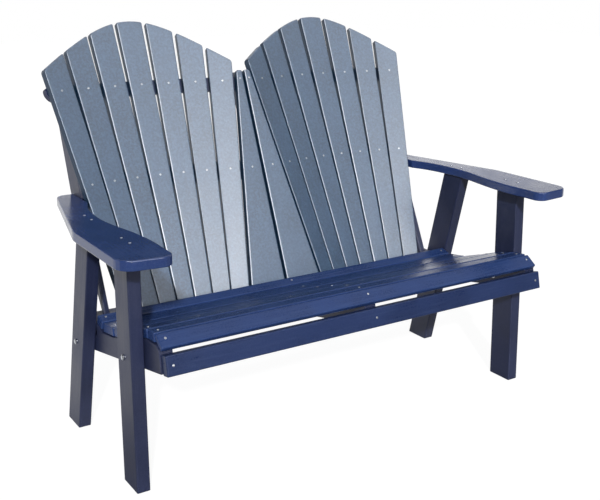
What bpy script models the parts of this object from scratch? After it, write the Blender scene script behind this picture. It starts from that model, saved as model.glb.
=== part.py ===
"""Adirondack loveseat: a two-seat garden bench of flat poly lumber boards.

Four flat legs stand against the outer faces of two contoured seat rails, with a third rail in the
middle. The rails carry the seat slats, the apron and the lower back rail. The back is two fans side
by side. In each one, seven tapered slats lie on a cone, so that the fan is hollow towards the sitter
and spreads towards its arched top, and two fillers close the V between the fans. Curved rails, sawn in
flats that match the slats, hold each fan on a fin-shaped outer post and on the shared centre post.

Lengths are metres. X runs along the bench, the front faces -Y and Z is up. While the bench is built,
Y = 0 is the front edge of the front legs at the floor. Last of all, the frame that carries every piece
is moved so that the origin is at the middle of the footprint.
"""

import math

import bmesh
import bpy
from mathutils import Vector

# Boards and clearances
BOARD = 0.0381
SLAT_THICKNESS = 0.0232
CURVED_RAIL_DEPTH = 0.0158
SEAT_THICKNESS = 0.0260
EDGE_SLAT_THICKNESS = 0.0160
ARM_THICKNESS = 0.0274
APRON_THICKNESS = 0.0275
FIN_THICKNESS = 0.0190
CLEARANCE = 0.0003
EDGE_RADIUS = 0.0030
BACK_EDGE_RADIUS = 0.0040
EDGE_STEPS = 2
SHARP_DEGREES = 45.0

# Legs: half the width over the outer faces, which sets the whole bench's width; lean is run over rise
LEG_HALF_SPAN = 0.6943
LEG_WIDTH = 0.0889
FRONT_LEAN_SHARE = 0.026
REAR_LEAN_SHARE = -0.246
REAR_LEG_AHEAD = 0.0188

# Arms, seen from above
ARM_TOP = 0.6803
ARM_SIDE_OVERHANG = 0.0657
ARM_FRONT_OVERHANG = 0.1220
ARM_FRONT_SLANT = 0.0150
ARM_KNEE_SHARE = 0.452
ARM_TAIL_WIDTH = 0.0530
ARM_LAP = 0.0706
ARM_CORNER = 0.0450
ARM_TAIL_CORNER = 0.0300
ARM_KNEE_RADIUS = 0.1200
ARM_INNER_CORNER = 0.0290
ARM_CORNER_STEPS = 5
ARM_CURVE_STEPS = 2
ARM_SLAT_GAP = 0.0012
# Inner edge, front to rear: shares of the arm's length and of its width beside the fan
ARM_INNER_SHARES = (
    (0.088, 0.054), (0.143, 0.040), (0.213, 0.038), (0.279, 0.064), (0.342, 0.103), (0.400, 0.155),
    (0.453, 0.204), (0.506, 0.239), (0.566, 0.260), (0.627, 0.245), (0.677, 0.220), (0.728, 0.176),
    (0.778, 0.109),
)

# Seat: the ridge over the tilted front slat, and each slat's fall to the rear in degrees
SEAT_HEIGHT = 0.4615
SEAT_END_GAP = 0.0042
RIDGE_Y = -0.0532
EDGE_SLAT_WIDTH = 0.0455
EDGE_SLAT_FALL = 34.5
FIRST_SLAT_WIDTH = 0.0405
SEAT_SLAT_WIDTH = 0.0742
LAST_SLAT_WIDTH = 0.0381
WIDE_SLATS = 4
SEAT_GAP = 0.0072
RIDGE_GAP = 0.0010
SEAT_FALLS = (5.0, 15.0, 19.7, 18.7, 8.7, -16.0)

# Seat rails and apron, measured down from the ridge
RAIL_FRONT = -0.0878
RAIL_DEPTH = 0.1158
RAIL_FALL_SHARE = 0.213
APRON_END_INSET = 0.0013
APRON_DROP = 0.0946
APRON_HEIGHT = 0.0555

# Back: two rows of screws set out each fan, one measured from the seat's ridge and one from the top
BACK_HEIGHT = 1.1854
LOW_ROW_DROP = 0.1040
HIGH_ROW_DROP = 0.1934
SLATS_EACH_SIDE = 3
SLAT_GAP_LOW = 0.0065
SLAT_GAP_HIGH = 0.0108
SEAT_TO_BACK = 0.0442
BACK_LEAN_SHARE = 0.45264
ARCH_BLUNTNESS = 0.1146
ARCH_FALL_SHARE = 0.684
ARCH_STEPS = 4
ARCH_ROUNDS = 6
SLAT_CORNER = 0.0055
FAN_CORNER = 0.0075
CORNER_STEPS = 4
# Shares of half the width over the legs: the fan's centre, its slats' pitch, low and high, and its radius
FAN_CENTRE_SHARE = 0.5005
PITCH_LOW_SHARE = 0.08714
PITCH_HIGH_SHARE = 0.13010
BACK_RADIUS_SHARE = 1.6074

# Fillers in the V: how far their front stands before the middle slat's front, low and high
FILLER_AHEAD_LOW = 0.0320
FILLER_AHEAD_HIGH = 0.0498
FILLER_DROP = 0.1604
FILLER_GAP = 0.0100
FILLER_SPLIT = 0.0085

# Rails and posts behind the back
LOWER_RAIL_DROP = 0.1075
LOWER_RAIL_WIDTH = 0.0812
LOWER_RAIL_LIP = 0.0040
MIDDLE_RAIL_HEIGHT = 0.0560
UPPER_RAIL_DROP = 0.2274
UPPER_RAIL_HEIGHT = 0.0420
UPPER_RAIL_OVERHANG = 0.0055
UPPER_RAIL_TOP_ROUND = 0.0100
UPPER_RAIL_LOW_ROUND = 0.0300
RAIL_END_STEPS = 5
CENTRE_POST_WIDTH = 0.0445
CENTRE_POST_DROP = 0.1754
POST_DROP = 0.1954
POST_TAIL_DEPTH = 0.0165
POST_ARM_DEPTH = 0.0905
POST_TOP_DEPTH = 0.0700

# Leg bolts
BOLT_RADIUS = 0.0048
BOLT_PLAY = 0.0004
BOLT_HEAD_RADIUS = 0.0078
BOLT_HEAD_HEIGHT = 0.0045
BOLT_CROWN_SHARE = 0.70
BOLT_RIM_SHARE = 0.55
BOLT_SIDES = 12
BOLT_END = 0.0030
WASHER_RADIUS = 0.0110
WASHER_THICKNESS = 0.0020
NUT_RADIUS = 0.0088
NUT_THICKNESS = 0.0080
CUT_OVERRUN = 0.0050
FRONT_BOLT_ACROSS_SHARE = 0.57
REAR_BOLT_ACROSS_SHARE = 0.60
FRONT_BOLT_UP_SHARE = 0.40
REAR_BOLT_UP_SHARE = 0.50

# Worked out from the sizes above
LEG_INNER = LEG_HALF_SPAN - BOARD
LEG_TOP = ARM_TOP - ARM_THICKNESS - CLEARANCE
ARM_HALF_SPAN = LEG_HALF_SPAN + ARM_SIDE_OVERHANG
RAIL_OUTER = LEG_INNER - CLEARANCE
RAIL_INNER = RAIL_OUTER - BOARD
RAIL_BOTTOM = SEAT_HEIGHT - RAIL_DEPTH
SEAT_HALF_LENGTH = LEG_INNER - SEAT_END_GAP
SEAT_WIDTHS = (FIRST_SLAT_WIDTH,) + (SEAT_SLAT_WIDTH,) * WIDE_SLATS + (LAST_SLAT_WIDTH,)
LOWER_RAIL_TOP = SEAT_HEIGHT - LOWER_RAIL_DROP
LOWER_RAIL_LOW = LOWER_RAIL_TOP - BOARD
NOTCH_FLOOR = LOWER_RAIL_LOW - CLEARANCE
BEHIND_SLATS = SLAT_THICKNESS + CLEARANCE
BEHIND_RAILS = BEHIND_SLATS + CURVED_RAIL_DEPTH + CLEARANCE
LOW_ROW = SEAT_HEIGHT - LOW_ROW_DROP
HIGH_ROW = BACK_HEIGHT - HIGH_ROW_DROP
ROW_RISE = HIGH_ROW - LOW_ROW
UPPER_RAIL_LOW = BACK_HEIGHT - UPPER_RAIL_DROP
FILLER_TOP = BACK_HEIGHT - FILLER_DROP
CENTRE_POST_TOP = BACK_HEIGHT - CENTRE_POST_DROP
POST_TOP = BACK_HEIGHT - POST_DROP
FAN_CENTRE = LEG_HALF_SPAN * FAN_CENTRE_SHARE
PITCH_LOW = LEG_HALF_SPAN * PITCH_LOW_SHARE
PITCH_HIGH = LEG_HALF_SPAN * PITCH_HIGH_SHARE
SLAT_WIDTH_LOW = PITCH_LOW - SLAT_GAP_LOW
SLAT_WIDTH_HIGH = PITCH_HIGH - SLAT_GAP_HIGH
BACK_RADIUS = LEG_HALF_SPAN * BACK_RADIUS_SHARE
BACK_RUN = BACK_LEAN_SHARE * ROW_RISE
APEX_DROP = PITCH_LOW * ROW_RISE / (PITCH_HIGH - PITCH_LOW)
APEX_Z = LOW_ROW - APEX_DROP
SLAT_TURN = PITCH_HIGH / BACK_RADIUS
CONE_SPREAD = BACK_RADIUS / (HIGH_ROW - APEX_Z)


def remove_everything():
    """Empties the scene and drops meshes and materials that nothing uses."""
    for item in list(bpy.data.objects):
        bpy.data.objects.remove(item, do_unlink=True)
    for store in (bpy.data.meshes, bpy.data.materials):
        for block in list(store):
            if block.users == 0:
                store.remove(block)


def make_material(name, colour, roughness, metallic):
    """Makes a plain surface of one colour."""
    material = bpy.data.materials.new(name)
    material.use_nodes = True
    shader = material.node_tree.nodes["Principled BSDF"]
    shader.inputs["Base Color"].default_value = (*colour, 1.0)
    shader.inputs["Roughness"].default_value = roughness
    shader.inputs["Metallic"].default_value = metallic
    return material


def back_lumber():
    """Navy poly lumber of the back, paler where it faces the sky."""
    return make_material("back_lumber", (0.060, 0.095, 0.200), 0.42, 0.0)


def seat_lumber():
    """Navy poly lumber of the seat and apron, a little glossier from wear."""
    return make_material("seat_lumber", (0.026, 0.042, 0.140), 0.38, 0.0)


def arm_lumber():
    """Navy poly lumber of the arms."""
    return make_material("arm_lumber", (0.028, 0.045, 0.145), 0.40, 0.0)


def frame_lumber():
    """Darker navy poly lumber of legs, rails and posts."""
    return make_material("frame_lumber", (0.022, 0.030, 0.085), 0.50, 0.0)


def stainless():
    """Bright stainless steel of the fasteners."""
    return make_material("stainless", (0.70, 0.72, 0.75), 0.25, 1.0)


def add_rings(shape, rings, hollow=False):
    """Bridges rings of points in order, then closes the ends or, if hollow, joins last to first."""
    loops = [[shape.verts.new(point) for point in ring] for ring in rings]
    pairs = list(zip(loops, loops[1:]))
    if hollow:
        pairs.append((loops[-1], loops[0]))
    for here, there in pairs:
        for index in range(len(here)):
            after = (index + 1) % len(here)
            shape.faces.new((here[index], here[after], there[after], there[index]))
    if not hollow:
        shape.faces.new(loops[0][::-1])
        shape.faces.new(loops[-1])


def add_piece(frame, name, shape, material, edge=EDGE_RADIUS):
    """Turns a shape into a named piece under the frame, with its sharp edges rounded over."""
    bmesh.ops.recalc_face_normals(shape, faces=shape.faces)
    mesh = bpy.data.meshes.new(name)
    shape.to_mesh(mesh)
    shape.free()
    mesh.materials.append(material)
    piece = bpy.data.objects.new(name, mesh)
    bpy.context.collection.objects.link(piece)
    piece.parent = frame
    if edge > 0:
        bevel = piece.modifiers.new("rounded_edges", "BEVEL")
        bevel.width = edge
        bevel.segments = EDGE_STEPS
        bevel.limit_method = "ANGLE"
        bevel.angle_limit = math.radians(SHARP_DEGREES)
    return piece


def add_prism(frame, name, first, second, material, edge=EDGE_RADIUS):
    """A solid between two matching outlines."""
    shape = bmesh.new()
    add_rings(shape, [first, second])
    return add_piece(frame, name, shape, material, edge)


def side_board(frame, name, outline, near, far, material):
    """A board cut to an outline in Y and Z, between two places along X."""
    first = [Vector((near, y, z)) for y, z in outline]
    second = [Vector((far, y, z)) for y, z in outline]
    return add_prism(frame, name, first, second, material)


def hexagon_share(angle):
    """Share of a hexagon's corner radius that its edge has in a direction."""
    sixth = math.tau / 6
    return math.cos(sixth / 2) / math.cos(angle % sixth - sixth / 2)


def turned(shape, profile, start, direction, hollow=False, six_sided=False):
    """A round solid from (radius, distance) pairs; a six-sided one keeps its first and last rings round."""
    across = direction.orthogonal().normalized()
    other = direction.cross(across)
    rings = []
    for place, (radius, distance) in enumerate(profile):
        round_ring = not six_sided or place in (0, len(profile) - 1)
        ring = []
        for index in range(BOLT_SIDES):
            angle = math.tau * index / BOLT_SIDES
            reach = radius if round_ring else radius * hexagon_share(angle)
            spoke = across * math.cos(angle) + other * math.sin(angle)
            ring.append(start + direction * distance + spoke * reach)
        rings.append(ring)
    add_rings(shape, rings, hollow)


def slope_along(fall):
    """Unit direction to the rear, in Y and Z, of a surface that falls by an angle in degrees."""
    return Vector((math.cos(math.radians(fall)), -math.sin(math.radians(fall))))


def slope_up(fall):
    """Unit direction out of the top of that surface."""
    return Vector((math.sin(math.radians(fall)), math.cos(math.radians(fall))))


def seat_leads():
    """How far each seat slat's front edge stands behind the point where its slope starts."""
    behind_ridge = EDGE_SLAT_THICKNESS * math.sin(math.radians(EDGE_SLAT_FALL + SEAT_FALLS[0])) + RIDGE_GAP
    return [behind_ridge] + [SEAT_GAP / 2] * (len(SEAT_WIDTHS) - 1)


def seat_nodes():
    """Points where the seat's top changes slope, from the ridge to the rear slat's rear edge."""
    nodes = [Vector((RIDGE_Y, SEAT_HEIGHT))]
    for number, (lead, width, fall) in enumerate(zip(seat_leads(), SEAT_WIDTHS, SEAT_FALLS), start=1):
        trail = SEAT_GAP / 2 if number < len(SEAT_WIDTHS) else 0.0
        nodes.append(nodes[-1] + slope_along(fall) * (lead + width + trail))
    return nodes


SEAT_NODES = seat_nodes()
SEAT_REAR = SEAT_NODES[-1].x
BACK_LOW = SEAT_REAR + SEAT_TO_BACK
APEX_Y = BACK_LOW - BACK_LEAN_SHARE * APEX_DROP


def meet(point, direction, other, along):
    """The point where two lines in a plane cross."""
    gap = other - point
    share = gap.cross(along) / direction.cross(along)
    return point + direction * share


def level_width(height):
    """A back slat's width at a height."""
    share = (height - LOW_ROW) / ROW_RISE
    return SLAT_WIDTH_LOW + (SLAT_WIDTH_HIGH - SLAT_WIDTH_LOW) * share


def slat_along(place):
    """Horizontal unit direction across the slat at a place counted from the fan's middle."""
    turn = place * SLAT_TURN
    return Vector((math.cos(turn), -math.sin(turn), 0.0))


def slat_back(place):
    """Horizontal unit direction to the slat's rear."""
    turn = place * SLAT_TURN
    return Vector((math.sin(turn), math.cos(turn), 0.0))


def slat_slope(place):
    """How far the slat's face leans back for each unit of height, square to the face in plan."""
    return CONE_SPREAD + math.cos(place * SLAT_TURN) * (BACK_LEAN_SHARE - CONE_SPREAD)


def fan_point(fan, place, across, behind, height):
    """A point at a height on a slat's face, or on the plane that lies behind that face."""
    rise = height - APEX_Z
    turn = place * SLAT_TURN
    x = fan * FAN_CENTRE + CONE_SPREAD * rise * math.sin(turn)
    y = APEX_Y + (BACK_LEAN_SHARE - CONE_SPREAD + CONE_SPREAD * math.cos(turn)) * rise
    level = behind * math.hypot(1.0, slat_slope(place))
    return Vector((x, y, height)) + slat_along(place) * across + slat_back(place) * level


def point_at_x(fan, place, x, behind, height):
    """The point of that plane at a place along the bench."""
    start = fan_point(fan, place, 0.0, behind, height)
    along = slat_along(place)
    return start + along * ((x - start.x) / along.x)


def seam(fan, place, behind, height):
    """Where the planes behind one slat and the next meet."""
    here = fan_point(fan, place, 0.0, behind, height)
    there = fan_point(fan, place + 1, 0.0, behind, height)
    back = slat_back(place + 1)
    return here + slat_along(place) * ((there - here).dot(back) / slat_along(place).dot(back))


def filler_front(height):
    """Front of the fillers at a height."""
    share = (height - LOW_ROW) / ROW_RISE
    low = BACK_LOW - FILLER_AHEAD_LOW
    high = BACK_LOW + BACK_RUN - FILLER_AHEAD_HIGH
    return low + (high - low) * share


FILLER_LEAN = (BACK_RUN - FILLER_AHEAD_HIGH + FILLER_AHEAD_LOW) / ROW_RISE


def filler_plane(behind, height):
    """Y of the plane that lies behind the fillers' front."""
    return filler_front(height) + behind * math.hypot(1.0, FILLER_LEAN)


def filler_seam(fan, behind, height):
    """Where the plane behind a fan's innermost slat meets the plane behind the fillers."""
    place = -fan * SLATS_EACH_SIDE
    start = fan_point(fan, place, 0.0, behind, height)
    along = slat_along(place)
    return start + along * ((filler_plane(behind, height) - start.y) / along.y)


def slat_edge(fan, place, side, height):
    """Front edge of a slat at a height; side is -1 or 1 along X."""
    return fan_point(fan, place, side * level_width(height) / 2, 0.0, height)


ARM_REAR_INNER = fan_point(1, SLATS_EACH_SIDE, level_width(ARM_TOP) / 2, SLAT_THICKNESS,
                           ARM_TOP).x + ARM_SLAT_GAP
POST_OUTER = ARM_REAR_INNER - CLEARANCE
POST_INNER = POST_OUTER - FIN_THICKNESS
LOWER_RAIL_FRONT = fan_point(1, SLATS_EACH_SIDE, level_width(LOWER_RAIL_LOW) / 2 + LOWER_RAIL_LIP,
                             BEHIND_SLATS, LOWER_RAIL_LOW).y
LOWER_RAIL_REAR = LOWER_RAIL_FRONT + LOWER_RAIL_WIDTH
REAR_LEG_FOOT = LOWER_RAIL_REAR - REAR_LEG_AHEAD


def leg_width(lean):
    """A leaning leg's width along the floor."""
    return LEG_WIDTH * math.hypot(1.0, lean)


def leg_outline(foot, lean):
    """Side view of a leg, from its foot's front edge."""
    width = leg_width(lean)
    shift = lean * LEG_TOP
    return [(foot, 0.0), (foot + width, 0.0), (foot + width + shift, LEG_TOP), (foot + shift, LEG_TOP)]


def rail_low(y):
    """Height of the seat rails' bottom edge."""
    return RAIL_BOTTOM - RAIL_FALL_SHARE * y


def rail_outline():
    """Side view of a seat rail: front chamfer, dished top, rear notch and sloping bottom."""
    drop = SEAT_THICKNESS + CLEARANCE
    edge_up = slope_up(-EDGE_SLAT_FALL)
    edge_along = slope_along(-EDGE_SLAT_FALL)
    chamfer = SEAT_NODES[0] - edge_up * (EDGE_SLAT_THICKNESS + CLEARANCE)
    upright = Vector((0.0, 1.0))
    outline = [Vector((RAIL_FRONT, rail_low(RAIL_FRONT))),
               meet(chamfer, edge_along, Vector((RAIL_FRONT, 0.0)), upright),
               meet(chamfer, edge_along, SEAT_NODES[0] - slope_up(SEAT_FALLS[0]) * drop,
                    slope_along(SEAT_FALLS[0]))]
    for node, before, after in zip(SEAT_NODES[1:], SEAT_FALLS, SEAT_FALLS[1:]):
        first = slope_up(before)
        second = slope_up(after)
        outline.append(node - (first + second) * (drop / (1.0 + first.dot(second))))
    notch = Vector((filler_front(NOTCH_FLOOR) - CLEARANCE, NOTCH_FLOOR))
    last = SEAT_NODES[-1] - slope_up(SEAT_FALLS[-1]) * drop
    outline.append(meet(last, slope_along(SEAT_FALLS[-1]), notch, Vector((FILLER_LEAN, 1.0))))
    outline.append(notch)
    outline.append(Vector((LOWER_RAIL_REAR, NOTCH_FLOOR)))
    outline.append(Vector((LOWER_RAIL_REAR, rail_low(LOWER_RAIL_REAR))))
    return [tuple(point) for point in outline]


def bolt_places():
    """Y and Z of the front and rear leg bolts."""
    places = []
    rail_tops = (SEAT_HEIGHT - SEAT_THICKNESS - EDGE_SLAT_THICKNESS, NOTCH_FLOOR)
    legs = ((0.0, FRONT_LEAN_SHARE, FRONT_BOLT_ACROSS_SHARE, FRONT_BOLT_UP_SHARE),
            (REAR_LEG_FOOT, REAR_LEAN_SHARE, REAR_BOLT_ACROSS_SHARE, REAR_BOLT_UP_SHARE))
    for (foot, lean, across, up), top in zip(legs, rail_tops):
        low = rail_low(foot)
        height = low + (top - low) * up
        y = foot + lean * height + leg_width(lean) * across
        low = rail_low(y)
        places.append((y, low + (top - low) * up))
    return places


def bolt_cutter(frame, material):
    """Round cutter for every leg bolt's hole, left out of the finished bench."""
    shape = bmesh.new()
    for side in (-1, 1):
        for y, z in bolt_places():
            start = Vector((side * (LEG_HALF_SPAN + CUT_OVERRUN), y, z))
            reach = LEG_HALF_SPAN - RAIL_INNER + 2 * CUT_OVERRUN
            radius = BOLT_RADIUS + BOLT_PLAY
            turned(shape, [(radius, 0.0), (radius, reach)], start, Vector((-side, 0.0, 0.0)))
    cutter = add_piece(frame, "bolt_cutter", shape, material, edge=0)
    cutter.hide_render = True
    cutter.display_type = "WIRE"
    return cutter


def drill(piece, cutter):
    """Bores the bolt holes through a piece."""
    hole = piece.modifiers.new("bolt_holes", "BOOLEAN")
    hole.operation = "DIFFERENCE"
    hole.solver = "EXACT"
    hole.object = cutter


def add_legs(frame, material, cutter):
    """The four legs, each bored for its bolt."""
    kinds = (("front", 0.0, FRONT_LEAN_SHARE), ("rear", REAR_LEG_FOOT, REAR_LEAN_SHARE))
    for kind, foot, lean in kinds:
        for hand, side in (("left", -1), ("right", 1)):
            leg = side_board(frame, f"{kind}_leg_{hand}", leg_outline(foot, lean),
                             side * LEG_INNER, side * LEG_HALF_SPAN, material)
            drill(leg, cutter)


def add_seat_rails(frame, material, cutter):
    """Two bored side rails and the centre rail, all cut to one outline."""
    outline = rail_outline()
    for hand, side in (("left", -1), ("right", 1)):
        rail = side_board(frame, f"seat_rail_{hand}", outline, side * RAIL_INNER, side * RAIL_OUTER, material)
        drill(rail, cutter)
    side_board(frame, "seat_rail_centre", outline, -BOARD / 2, BOARD / 2, material)


def tilted_outline(start, along, up, width, thickness):
    """Section of a slat from its top front edge."""
    corners = (start, start + along * width, start + along * width - up * thickness, start - up * thickness)
    return [tuple(corner) for corner in corners]


def add_seat_slats(frame, material):
    """The dished slats and the tilted front edge slat."""
    slats = zip(SEAT_NODES, seat_leads(), SEAT_WIDTHS, SEAT_FALLS)
    for number, (node, lead, width, fall) in enumerate(slats, start=1):
        along = slope_along(fall)
        outline = tilted_outline(node + along * lead, along, slope_up(fall), width, SEAT_THICKNESS)
        side_board(frame, f"seat_slat_{number}", outline, -SEAT_HALF_LENGTH, SEAT_HALF_LENGTH, material)
    outline = tilted_outline(SEAT_NODES[0], -slope_along(-EDGE_SLAT_FALL), slope_up(-EDGE_SLAT_FALL),
                             EDGE_SLAT_WIDTH, EDGE_SLAT_THICKNESS)
    side_board(frame, "front_edge_slat", outline, -SEAT_HALF_LENGTH, SEAT_HALF_LENGTH, material)


def add_apron(frame, material):
    """The board across the seat rails' front ends."""
    rear = RAIL_FRONT - CLEARANCE
    front = rear - APRON_THICKNESS
    low = SEAT_HEIGHT - APRON_DROP
    high = low + APRON_HEIGHT
    end = SEAT_HALF_LENGTH - APRON_END_INSET
    side_board(frame, "apron", [(front, low), (rear, low), (rear, high), (front, high)], -end, end, material)


def fillet(before, corner, after, radius):
    """Points of an arc that rounds a corner between two straight edges."""
    inward = (before - corner).normalized()
    outward = (after - corner).normalized()
    half = inward.angle(outward) / 2
    centre = corner + (inward + outward).normalized() * (radius / math.sin(half))
    reach = radius / math.tan(half)
    start = corner + inward * reach - centre
    end = corner + outward * reach - centre
    points = []
    for step in range(ARM_CORNER_STEPS + 1):
        spoke = start.lerp(end, step / ARM_CORNER_STEPS).normalized()
        points.append(centre + spoke * radius)
    return points


def smooth_through(points):
    """Points on a smooth curve through hand-chosen ones, ends included."""
    ends = [2 * points[0] - points[1]] + points + [2 * points[-1] - points[-2]]
    curve = []
    for a, b, c, d in zip(ends, ends[1:], ends[2:], ends[3:]):
        for step in range(ARM_CURVE_STEPS):
            t = step / ARM_CURVE_STEPS
            curve.append(0.5 * (2 * b + (c - a) * t + (2 * a - 5 * b + 4 * c - d) * t ** 2
                                + (3 * b - a - 3 * c + d) * t ** 3))
    return curve + [points[-1]]


def arm_outline():
    """Plan view of the right arm, from its inner front corner round by the outer edge."""
    front = -ARM_FRONT_OVERHANG
    rear = point_at_x(1, SLATS_EACH_SIDE, POST_OUTER, BEHIND_RAILS, ARM_TOP).y + ARM_LAP
    low = ARM_TOP - ARM_THICKNESS
    length = rear - front
    width = ARM_HALF_SPAN - ARM_REAR_INNER
    curve = [Vector((ARM_REAR_INNER + across * width, front + along * length))
             for along, across in ARM_INNER_SHARES]
    curve.append(Vector((ARM_REAR_INNER, slat_edge(1, SLATS_EACH_SIDE, 1, low).y - ARM_SLAT_GAP)))
    inner_front = Vector((curve[0].x, front))
    outer_front = Vector((ARM_HALF_SPAN, front + ARM_FRONT_SLANT))
    knee = Vector((ARM_HALF_SPAN, front + ARM_KNEE_SHARE * length))
    tail = Vector((ARM_REAR_INNER + ARM_TAIL_WIDTH, rear))
    end = Vector((ARM_REAR_INNER, rear))
    outline = fillet(curve[0], inner_front, outer_front, ARM_INNER_CORNER)
    outline += fillet(inner_front, outer_front, knee, ARM_CORNER)
    outline += fillet(outer_front, knee, tail, ARM_KNEE_RADIUS)
    outline += fillet(knee, tail, end, ARM_TAIL_CORNER)
    return outline + [end] + smooth_through(curve[::-1])


def add_arms(frame, material):
    """Both arms, flat on the legs and beside the outer posts."""
    outline = arm_outline()
    for hand, side in (("left", -1), ("right", 1)):
        low = [Vector((side * point.x, point.y, ARM_TOP - ARM_THICKNESS)) for point in outline]
        high = [Vector((side * point.x, point.y, ARM_TOP)) for point in outline]
        add_prism(frame, f"arm_{hand}", low, high, material)


def arch_height(x):
    """Height of the fan's arched top line at a distance from the fan's middle."""
    return BACK_HEIGHT - (math.hypot(ARCH_BLUNTNESS, ARCH_FALL_SHARE * x) - ARCH_BLUNTNESS)


def arch_point(fan, place, across, drop):
    """The point of a slat's front on the arched line, at a share of half its width, less a drop."""
    height = BACK_HEIGHT
    for _ in range(ARCH_ROUNDS):
        point = fan_point(fan, place, across * level_width(height) / 2, 0.0, height)
        height = arch_height(point.x - fan * FAN_CENTRE) - drop
    return fan_point(fan, place, across * level_width(height) / 2, 0.0, height)


def slat_top(fan, place):
    """A slat's arched top from its -X edge to its +X edge, with both corners rounded."""
    half = level_width(arch_height(0.0)) / 2
    points = []
    radii = [FAN_CORNER if place == side * SLATS_EACH_SIDE else SLAT_CORNER for side in (-1, 1)]
    for step in range(CORNER_STEPS + 1):
        angle = math.radians(90) * step / CORNER_STEPS
        inset = radii[0] * (1 - math.cos(angle)) / half
        points.append(arch_point(fan, place, -1 + inset, radii[0] * (1 - math.sin(angle))))
    low = -1 + radii[0] / half
    high = 1 - radii[1] / half
    for step in range(1, ARCH_STEPS):
        points.append(arch_point(fan, place, low + (high - low) * step / ARCH_STEPS, 0.0))
    for step in range(CORNER_STEPS, -1, -1):
        angle = math.radians(90) * step / CORNER_STEPS
        inset = radii[1] * (1 - math.cos(angle)) / half
        points.append(arch_point(fan, place, 1 - inset, radii[1] * (1 - math.sin(angle))))
    return points


def slat_normal(place):
    """Unit direction out of a slat's front."""
    normal = -slat_back(place)
    normal.z = slat_slope(place)
    return normal.normalized()


def add_back_slats(frame, material):
    """Seven slats to each fan, numbered from the arm to the middle of the bench."""
    for hand, fan in (("left", -1), ("right", 1)):
        for place in range(-SLATS_EACH_SIDE, SLATS_EACH_SIDE + 1):
            number = SLATS_EACH_SIDE + 1 - fan * place
            normal = slat_normal(place)
            foot = LOWER_RAIL_LOW + SLAT_THICKNESS * normal.z
            front = slat_top(fan, place)
            front += [slat_edge(fan, place, 1, foot), slat_edge(fan, place, -1, foot)]
            rear = [point - normal * SLAT_THICKNESS for point in front]
            add_prism(frame, f"back_slat_{hand}_{number}", front, rear, material, BACK_EDGE_RADIUS)


def filler_edge(height):
    """X of the right filler's outer edge, a gap away from the innermost slat."""
    return slat_edge(1, -SLATS_EACH_SIDE, -1, height).x - FILLER_GAP


def add_fillers(frame, material):
    """Two slats in the V between the fans, flat in one plane."""
    normal = Vector((0.0, -1.0, FILLER_LEAN)).normalized()
    foot = LOWER_RAIL_LOW + SLAT_THICKNESS * normal.z
    inner = FILLER_SPLIT / 2
    top_outer = filler_edge(FILLER_TOP)
    outline = [(inner, foot), (filler_edge(foot), foot), (filler_edge(FILLER_TOP - SLAT_CORNER),
                                                         FILLER_TOP - SLAT_CORNER)]
    outline += [(top_outer - SLAT_CORNER, FILLER_TOP), (inner, FILLER_TOP)]
    for hand, side in (("left", -1), ("right", 1)):
        front = [Vector((side * x, filler_front(z), z)) for x, z in outline]
        rear = [point - normal * SLAT_THICKNESS for point in front]
        add_prism(frame, f"filler_slat_{hand}", front, rear, material, BACK_EDGE_RADIUS)


def lower_rail_line(height):
    """Front edge of the lower back rail at a height, from end to end."""
    fan = 1
    outer = SLATS_EACH_SIDE
    middle = [filler_seam(fan, BEHIND_SLATS, height)]
    middle += [seam(fan, place, BEHIND_SLATS, height) for place in range(-outer, outer)]
    start = fan_point(fan, outer, 0.0, BEHIND_SLATS, height)
    along = slat_along(outer)
    middle.append(start + along * ((LOWER_RAIL_FRONT - start.y) / along.y))
    right = [Vector((point.x, point.y, height)) for point in middle]
    right.append(Vector((SEAT_HALF_LENGTH, LOWER_RAIL_FRONT, height)))
    left = [Vector((-point.x, point.y, height)) for point in reversed(right)]
    return left + right


def add_lower_rail(frame, material):
    """The board across the seat rails' rear ends, sawn in an arc of flats behind each fan."""
    rings = []
    for height in (LOWER_RAIL_LOW, LOWER_RAIL_TOP):
        ring = lower_rail_line(height)
        ring.append(Vector((SEAT_HALF_LENGTH, LOWER_RAIL_REAR, height)))
        ring.append(Vector((-SEAT_HALF_LENGTH, LOWER_RAIL_REAR, height)))
        rings.append(ring)
    add_prism(frame, "lower_back_rail", rings[0], rings[1], material)


def rail_section(locate, low, high, sink):
    """Four corners of a curved rail; its rear corners may sit lower, for a section square to the slats."""
    front = BEHIND_SLATS
    rear = BEHIND_SLATS + CURVED_RAIL_DEPTH
    return [locate(front, low), locate(front, high), locate(rear, high - sink), locate(rear, low - sink)]


def curved_rail(frame, name, fan, low, high, outer_sections, sink, material):
    """A rail in flats behind one fan, from its outer end to the centre post's side."""
    outer = fan * SLATS_EACH_SIDE
    sections = list(outer_sections)
    for step in range(2 * SLATS_EACH_SIDE):
        place = outer - fan * (step + 1) if fan > 0 else outer + step
        sections.append(rail_section(lambda behind, z, p=place: seam(fan, p, behind, z), low, high, sink))
    end = fan * (CENTRE_POST_WIDTH / 2 + CLEARANCE)
    turn_in = rail_section(lambda behind, z: filler_seam(fan, behind, z), low, high, sink)
    if min(abs(point.x) for point in turn_in) > abs(end) + EDGE_RADIUS:
        sections.append(turn_in)

    def inner_end(behind, height):
        """The inner end lies behind both the innermost slat and the fillers."""
        point = point_at_x(fan, -outer, end, behind, height)
        point.y = max(point.y, filler_plane(behind, height))
        return point

    sections.append(rail_section(inner_end, low, high, sink))
    shape = bmesh.new()
    add_rings(shape, sections)
    add_piece(frame, name, shape, material)


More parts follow.
